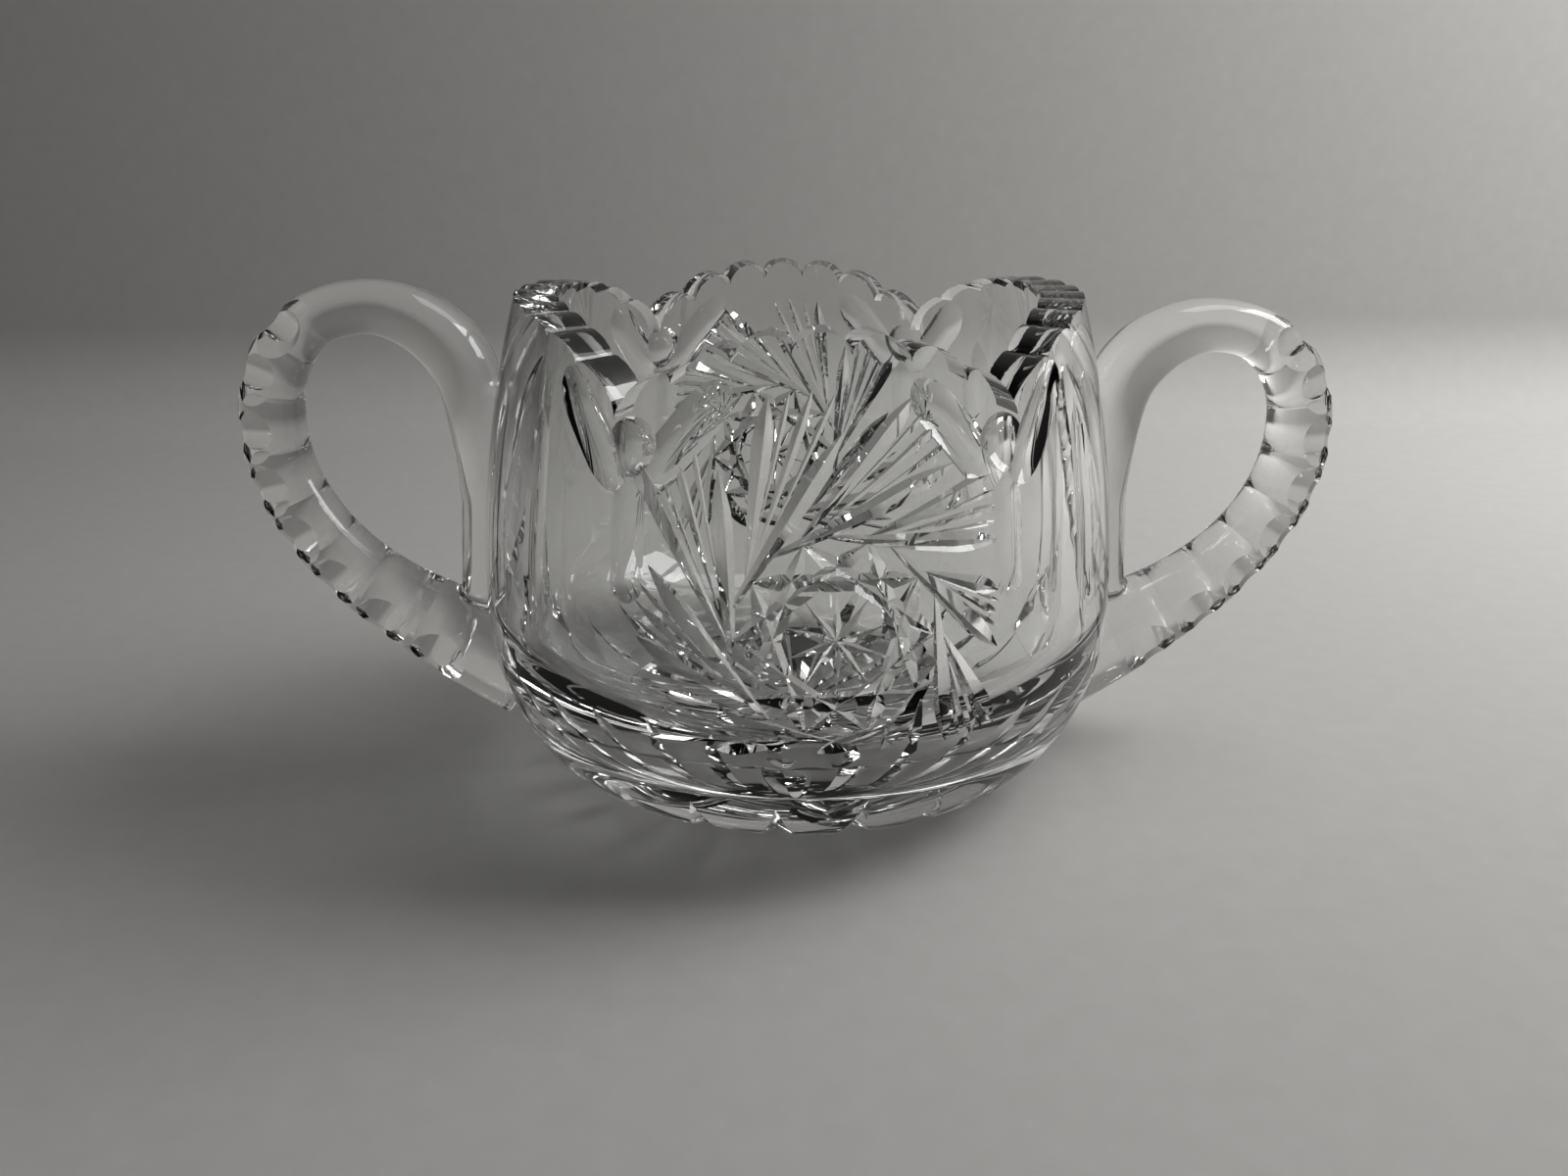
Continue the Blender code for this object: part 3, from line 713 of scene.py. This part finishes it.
def lofted(name, sections, turn):
    """Solid through a row of sections, turned to its side of the bowl."""
    bm = bmesh.new()
    skin_rings(bm, [[bm.verts.new(turn @ point) for point in ring] for ring in sections])
    return object_from(bm, name)


def strip_sections(top):
    """Rings down the wall, a little prouder at both ends."""
    rings = []
    for i in range(STRIP_STEPS + 1):
        height = top * (STRIP_TOP + (STRIP_BOTTOM - STRIP_TOP) * i / STRIP_STEPS)
        proud = STRIP_PROUD + STRIP_FLARE * abs(2.0 * i / STRIP_STEPS - 1.0) ** STRIP_FLARE_POWER
        half = 0.5 * (proud + RIM_WALL)
        centre = Vector((wall_radius(height) + proud - half, 0.0, height))
        rings.append(section(centre, Vector((1.0, 0.0, 0.0)), half, STRIP_HALF_WIDTH))
    return rings


print("handle path:", len(HANDLE_PATH), "control points")

# %% [markdown]
# ## Melting and notching a handle
# Hot glass leaves no corner, so loop and strip are melted into one skin: a voxel remesh merges them, and
# a smoothing pass rounds the crotches. It also shrinks the rod by a hair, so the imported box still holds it.
# Then the cold work follows: three rows of broad thumb cuts down the loop, which meet in crisp ridges.

# %% Handle notches
NOTCH_COUNT = 8
NOTCH_FIRST = 0.42
NOTCH_LAST = 0.90
NOTCH_LEANS = (-68.0, 0.0, 68.0)
NOTCH_RADIUS = 9.0 * MM
NOTCH_DEPTH = 1.0 * MM
NOTCH_LENGTH = 10.0 * MM
NOTCH_SEGMENTS = 180
MELT_GRAIN = 0.35 * MM
MELT_FACTOR = 0.5
MELT_PASSES = 24


def notch_cutter(name, turn, top, lean, first):
    """Every other thumb cut of one row, as drums that lie across the loop."""
    bm = bmesh.new()
    for i in range(first, NOTCH_COUNT, 2):
        part = NOTCH_FIRST + (NOTCH_LAST - NOTCH_FIRST) * i / (NOTCH_COUNT - 1)
        centre, out, thick, wide = path_frame(part, top)
        face = out * math.cos(lean) + Vector((0.0, math.sin(lean), 0.0))
        across, beside = abs(math.cos(lean)) / thick, abs(math.sin(lean)) / wide
        surface = (across ** SECTION_POWER + beside ** SECTION_POWER) ** (-1.0 / SECTION_POWER)
        along = Vector((0.0, 1.0, 0.0)).cross(out).normalized()
        pose = Matrix((along, face, along.cross(face))).transposed().to_4x4()
        pose.translation = centre + face * (surface + NOTCH_RADIUS - NOTCH_DEPTH)
        bmesh.ops.create_cone(bm, cap_ends=True, segments=NOTCH_SEGMENTS, radius1=NOTCH_RADIUS,
                              radius2=NOTCH_RADIUS, depth=NOTCH_LENGTH, matrix=turn @ pose)
    return object_from(bm, name)


def whole_handle(name, turn, top):
    """Loop, strip and notches, still running on into the wall."""
    loop = [section(*path_frame(i / (HANDLE_RINGS - 1), top)) for i in range(HANDLE_RINGS)]
    handle = lofted(name, loop, turn)
    strip = lofted(name + "_strip", strip_sections(top), turn)
    boolean(handle, strip, "UNION")
    melt = handle.modifiers.new("melt", "REMESH")
    melt.mode = "VOXEL"
    melt.voxel_size = MELT_GRAIN
    soft = handle.modifiers.new("soft", "SMOOTH")
    soft.factor = MELT_FACTOR
    soft.iterations = MELT_PASSES
    helpers = [strip]
    for lean in NOTCH_LEANS:
        for first in (0, 1):
            cutter_name = f"{name}_{lean:+.0f}_{first}"
            helpers.append(notch_cutter(cutter_name, turn, top, math.radians(lean), first))
            boolean(handle, helpers[-1])
    return freeze(handle, *helpers)


print("thumb cuts:", NOTCH_COUNT, "in each of", len(NOTCH_LEANS), "rows")

# %% [markdown]
# ## Glass
# Lead glass is clear, bends light strongly and is never quite even: its fire-polished skin waves a
# little, and old cut edges hold faint dust and rubbing. A node group makes both, a slow wave for the
# Bump node and a fine mask for roughness, and each glass uses it with its own amounts.

# %% Glass skin group
LEAD_GLASS_IOR = 1.53
RUBBED_NOISE = (0.52, 0.78)


def skin_group():
    """Node group with a slow wave as Height and a mask of rubbed spots as Roughness."""
    group = bpy.data.node_groups.new("glass_skin", "ShaderNodeTree")
    for name, value in (("Wave Scale", 60.0), ("Rub Scale", 900.0), ("Polish", 0.0), ("Rubbed", 0.06)):
        socket = group.interface.new_socket(name, in_out="INPUT", socket_type="NodeSocketFloat")
        socket.default_value = value
    group.interface.new_socket("Height", in_out="OUTPUT", socket_type="NodeSocketFloat")
    group.interface.new_socket("Roughness", in_out="OUTPUT", socket_type="NodeSocketFloat")
    nodes, links = group.nodes, group.links
    inside = nodes.new("NodeGroupInput")
    outside = nodes.new("NodeGroupOutput")
    place = nodes.new("ShaderNodeTexCoord")
    wave = nodes.new("ShaderNodeTexNoise")
    wave.inputs["Detail"].default_value = 1.0
    rub = nodes.new("ShaderNodeTexNoise")
    rub.inputs["Detail"].default_value = 4.0
    mask = nodes.new("ShaderNodeMapRange")
    mask.inputs["From Min"].default_value, mask.inputs["From Max"].default_value = RUBBED_NOISE
    links.new(place.outputs["Object"], wave.inputs["Vector"])
    links.new(place.outputs["Object"], rub.inputs["Vector"])
    links.new(inside.outputs["Wave Scale"], wave.inputs["Scale"])
    links.new(inside.outputs["Rub Scale"], rub.inputs["Scale"])
    links.new(rub.outputs["Fac"], mask.inputs["Value"])
    links.new(inside.outputs["Polish"], mask.inputs["To Min"])
    links.new(inside.outputs["Rubbed"], mask.inputs["To Max"])
    links.new(wave.outputs["Fac"], outside.inputs["Height"])
    links.new(mask.outputs["Result"], outside.inputs["Roughness"])
    return group


SKIN = skin_group()


def glass(name, colour, wave_scale, rub_scale, rubbed, wave_depth):
    """Clear glass material with its own amounts of wave and rubbing."""
    material = bpy.data.materials.new(name)
    material.use_nodes = True
    nodes, links = material.node_tree.nodes, material.node_tree.links
    shader = nodes["Principled BSDF"]
    shader.inputs["Base Color"].default_value = colour
    shader.inputs["IOR"].default_value = LEAD_GLASS_IOR
    shader.inputs["Transmission Weight"].default_value = 1.0
    skin = nodes.new("ShaderNodeGroup")
    skin.node_tree = SKIN
    skin.inputs["Wave Scale"].default_value = wave_scale
    skin.inputs["Rub Scale"].default_value = rub_scale
    skin.inputs["Rubbed"].default_value = rubbed
    bump = nodes.new("ShaderNodeBump")
    bump.inputs["Strength"].default_value = 1.0
    bump.inputs["Distance"].default_value = wave_depth
    links.new(skin.outputs["Height"], bump.inputs["Height"])
    links.new(bump.outputs["Normal"], shader.inputs["Normal"])
    links.new(skin.outputs["Roughness"], shader.inputs["Roughness"])
    return material


bowl_glass = glass("cut_glass", (0.975, 0.98, 0.975, 1.0), wave_scale=55.0, rub_scale=700.0,
                   rubbed=0.05, wave_depth=0.10 * MM)
handle_glass = glass("handle_glass", (0.97, 0.975, 0.97, 1.0), wave_scale=90.0, rub_scale=700.0,
                     rubbed=0.05, wave_depth=0.12 * MM)

fused = bpy.data.materials.new("fused_joint")
fused.use_nodes = True
fused.node_tree.nodes["Principled BSDF"].inputs["Alpha"].default_value = 0.0
print("materials:", bowl_glass.name, handle_glass.name, fused.name)

# %% [markdown]
# ## Fusing the handles
# Where a handle is fused on, the real glass has no surface between the two pieces, so light passes
# straight through. The pieces stay apart here, but the two faces of each joint get a clear material: the
# bowl gets a hair-deep seat in the handle's outline, and the handle's end is trimmed to match it.

# %% Joints
SEAT_DEPTH = 0.06 * MM
TRIM_DEPTH = 0.03 * MM


def inside_of_wall(name, depth):
    """Solid core whose skin lies this deep under the outer wall and carries the clear material."""
    points = outer_profile(depth)
    made = turned(name, [(0.0, points[0][1])] + points + [(0.0, points[-1][1])], TURN_STEPS)
    made.data.materials.append(fused)
    return made


def trimmed(handle, name, depth):
    """Copy of a whole handle without what lies deeper than this under the wall's surface."""
    copy = bpy.data.objects.new(name, handle.data.copy())
    scene.collection.objects.link(copy)
    core = inside_of_wall(name + "_core", depth)
    boolean(copy, core).material_mode = "TRANSFER"
    return freeze(copy, core)


bowl.data.materials.clear()
bowl.data.materials.append(bowl_glass)
handles = {}
for side, angle in (("right", 0.0), ("left", math.pi)):
    whole = whole_handle(f"{side}_whole", Matrix.Rotation(angle, 4, "Z"), HANDLE_TOPS[side])
    whole.data.materials.clear()
    whole.data.materials.append(handle_glass)
    plug = trimmed(whole, f"{side}_plug", SEAT_DEPTH)
    boolean(bowl, plug).material_mode = "TRANSFER"
    freeze(bowl, plug)
    handles[side] = trimmed(whole, f"{side}_loop", TRIM_DEPTH)
    bpy.data.objects.remove(whole, do_unlink=True)
print({o.name: [slot.material.name for slot in o.material_slots] for o in (bowl, *handles.values())})

# %% [markdown]
# ## Shading
# The uncut wall is perfectly round, while a cut has crisp edges. The faces of the wall therefore take the
# exact normal of the turned form, and the cuts keep smooth flanks that break at sharp edges.

# %% Normals
WALL_TOLERANCE = 0.05 * MM
WALL_FACING = 0.97
BOWL_SHARP_DEGREES = 22.0
HANDLE_SHARP_DEGREES = 26.0


def shade(piece, sharp_degrees):
    """Smooth shading that breaks at edges sharper than this."""
    mesh = piece.data
    mesh.polygons.foreach_set("use_smooth", [True] * len(mesh.polygons))
    mesh.set_sharp_from_angle(angle=math.radians(sharp_degrees))
    return mesh


def wall_side(mesh, polygon):
    """The turned form that a face belongs to, with the sign of its normal, or None for a cut."""
    for radius_at, sign in ((wall_radius, 1.0), (cavity_radius, -1.0)):
        fits = True
        for index in polygon.vertices:
            x, y, z = mesh.vertices[index].co
            if z < HEEL_HEIGHT + WALL_TOLERANCE or abs(math.hypot(x, y) - radius_at(z)) > WALL_TOLERANCE:
                fits = False
                break
        if fits and polygon.normal.dot(turned_normal(radius_at, *polygon.center)) * sign > WALL_FACING:
            return radius_at, sign
    return None


mesh = shade(bowl, BOWL_SHARP_DEGREES)
normals = [Vector(corner.vector) for corner in mesh.corner_normals]
walls = 0
for polygon in mesh.polygons:
    found = wall_side(mesh, polygon)
    if found:
        walls += 1
        for loop in polygon.loop_indices:
            co = mesh.vertices[mesh.loops[loop].vertex_index].co
            normals[loop] = turned_normal(found[0], *co) * found[1]
mesh.normals_split_custom_set(normals)
for handle in handles.values():
    shade(handle, HANDLE_SHARP_DEGREES)
print("wall faces:", walls, "of", len(mesh.polygons))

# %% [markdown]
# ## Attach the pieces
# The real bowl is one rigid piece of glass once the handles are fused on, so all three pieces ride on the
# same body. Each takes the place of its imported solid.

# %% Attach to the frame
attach(bowl, "root")
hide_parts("bowl")
for side, handle in handles.items():
    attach(handle, "root")
    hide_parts(f"{side}_handle")
print("attached:", bowl.name, *(handle.name for handle in handles.values()))

# %% [markdown]
# ## The stage
# Clear glass shows only what it bends and mirrors, so the surroundings matter as much as the bowl. A pale
# floor sweeps up into a back wall, as paper does in a studio, so no hard line shows through the glass.

# %% Floor and back wall
FLOOR_FRONT = -3.0
WALL_PLACE = 0.23
SWEEP_RADIUS = 0.03
WALL_TOP = 0.9
HALF_SPAN = 3.0
SWEEP_STEPS = 12
STAGE_DROP = 0.0002
PAPER_TONES = ((0.405, 0.397, 0.384, 1.0), (0.458, 0.450, 0.437, 1.0))


def sweep_stage():
    """Floor that sweeps up into a near back wall, with far walls on the other three sides."""
    bm = bmesh.new()
    outline = [(FLOOR_FRONT, 0.0), (WALL_PLACE - SWEEP_RADIUS, 0.0)]
    for i in range(1, SWEEP_STEPS + 1):
        turn = 0.5 * math.pi * i / SWEEP_STEPS
        outline.append((WALL_PLACE - SWEEP_RADIUS + SWEEP_RADIUS * math.sin(turn),
                        SWEEP_RADIUS * (1.0 - math.cos(turn))))
    outline.append((WALL_PLACE, WALL_TOP))
    rows = [[bm.verts.new((x, y, z)) for y, z in outline] for x in (-HALF_SPAN, HALF_SPAN)]
    for i in range(len(outline) - 1):
        bm.faces.new((rows[0][i], rows[1][i], rows[1][i + 1], rows[0][i + 1]))
    # Far walls close the other three sides, for views that look along the floor.
    far = [(-HALF_SPAN, WALL_PLACE), (-HALF_SPAN, FLOOR_FRONT),
           (HALF_SPAN, FLOOR_FRONT), (HALF_SPAN, WALL_PLACE)]
    for (x, y), (next_x, next_y) in zip(far, far[1:]):
        corners = ((x, y, 0.0), (next_x, next_y, 0.0), (next_x, next_y, WALL_TOP), (x, y, WALL_TOP))
        bm.faces.new([bm.verts.new(corner) for corner in corners])
    made = object_from(bm, "pale_sweep")
    for polygon in made.data.polygons:
        polygon.use_smooth = True
    return made


stage = sweep_stage()
stage.location.z = -STAGE_DROP
paper = bpy.data.materials.new("pale_paper")
paper.use_nodes = True
paper_nodes, paper_links = paper.node_tree.nodes, paper.node_tree.links
paper_shader = paper_nodes["Principled BSDF"]
paper_shader.inputs["Roughness"].default_value = 0.9
grain_place = paper_nodes.new("ShaderNodeTexCoord")
fibre = paper_nodes.new("ShaderNodeTexNoise")
fibre.inputs["Scale"].default_value = 240.0
fibre.inputs["Detail"].default_value = 6.0
tone = paper_nodes.new("ShaderNodeValToRGB")
tone.color_ramp.elements[0].color, tone.color_ramp.elements[1].color = PAPER_TONES
paper_links.new(grain_place.outputs["Object"], fibre.inputs["Vector"])
paper_links.new(fibre.outputs["Fac"], tone.inputs["Fac"])
paper_links.new(tone.outputs["Color"], paper_shader.inputs["Base Color"])
stage.data.materials.append(paper)
print("stage: floor and wall", WALL_PLACE, "m behind the bowl")

# %% [markdown]
# ## Light
# Glass needs soft light with a clear direction: large lamps from the right and from above make the cuts
# sparkle, and the room around is brighter on that side too, so that every facet bends in a different
# tone. The lamps stay weak, because a pale floor that turns plain white would swallow the clear glass.

# %% Lights
# Name, place, aim and size in metres, and power in watts.
LAMPS = (
    ("key", (0.42, 0.06, 0.34), (0.14, 0.16, 0.04), 0.30, 2.25),
    ("top", (0.26, 0.12, 0.58), (0.10, 0.08, 0.0), 0.36, 1.06),
)
ROOM_BRIGHT_SIDE = (0.75, 0.35, 0.45)
ROOM_TONES = ((0.07, 0.07, 0.072, 1.0), (0.95, 0.95, 0.95, 1.0))
ROOM_RANGE = (-0.5, 0.9)
ROOM_STRENGTH = 0.225
GLASS_BOUNCES = 24
CLEAR_BOUNCES = 16


def area_light(name, place, target, size, power):
    """Square lamp at a place, aimed at a target."""
    data = bpy.data.lights.new(name, "AREA")
    data.size = size
    data.energy = power
    made = bpy.data.objects.new(name, data)
    scene.collection.objects.link(made)
    made.location = place
    aim = Vector(target) - Vector(place)
    made.rotation_euler = aim.to_track_quat("-Z", "Y").to_euler()


for lamp in LAMPS:
    area_light(*lamp)

world = bpy.data.worlds.new("room")
scene.world = world
world.use_nodes = True
sky_nodes, sky_links = world.node_tree.nodes, world.node_tree.links
background = sky_nodes["Background"]
background.inputs["Strength"].default_value = ROOM_STRENGTH
where = sky_nodes.new("ShaderNodeTexCoord")
towards = sky_nodes.new("ShaderNodeVectorMath")
towards.operation = "DOT_PRODUCT"
towards.inputs[1].default_value = Vector(ROOM_BRIGHT_SIDE).normalized()
level = sky_nodes.new("ShaderNodeMapRange")
level.inputs["From Min"].default_value, level.inputs["From Max"].default_value = ROOM_RANGE
shade_of_room = sky_nodes.new("ShaderNodeValToRGB")
shade_of_room.color_ramp.elements[0].color, shade_of_room.color_ramp.elements[1].color = ROOM_TONES
sky_links.new(where.outputs["Generated"], towards.inputs[0])
sky_links.new(towards.outputs["Value"], level.inputs["Value"])
sky_links.new(level.outputs["Result"], shade_of_room.inputs["Fac"])
sky_links.new(shade_of_room.outputs["Color"], background.inputs["Color"])
scene.cycles.max_bounces = GLASS_BOUNCES
scene.cycles.transmission_bounces = GLASS_BOUNCES
scene.cycles.transparent_max_bounces = CLEAR_BOUNCES
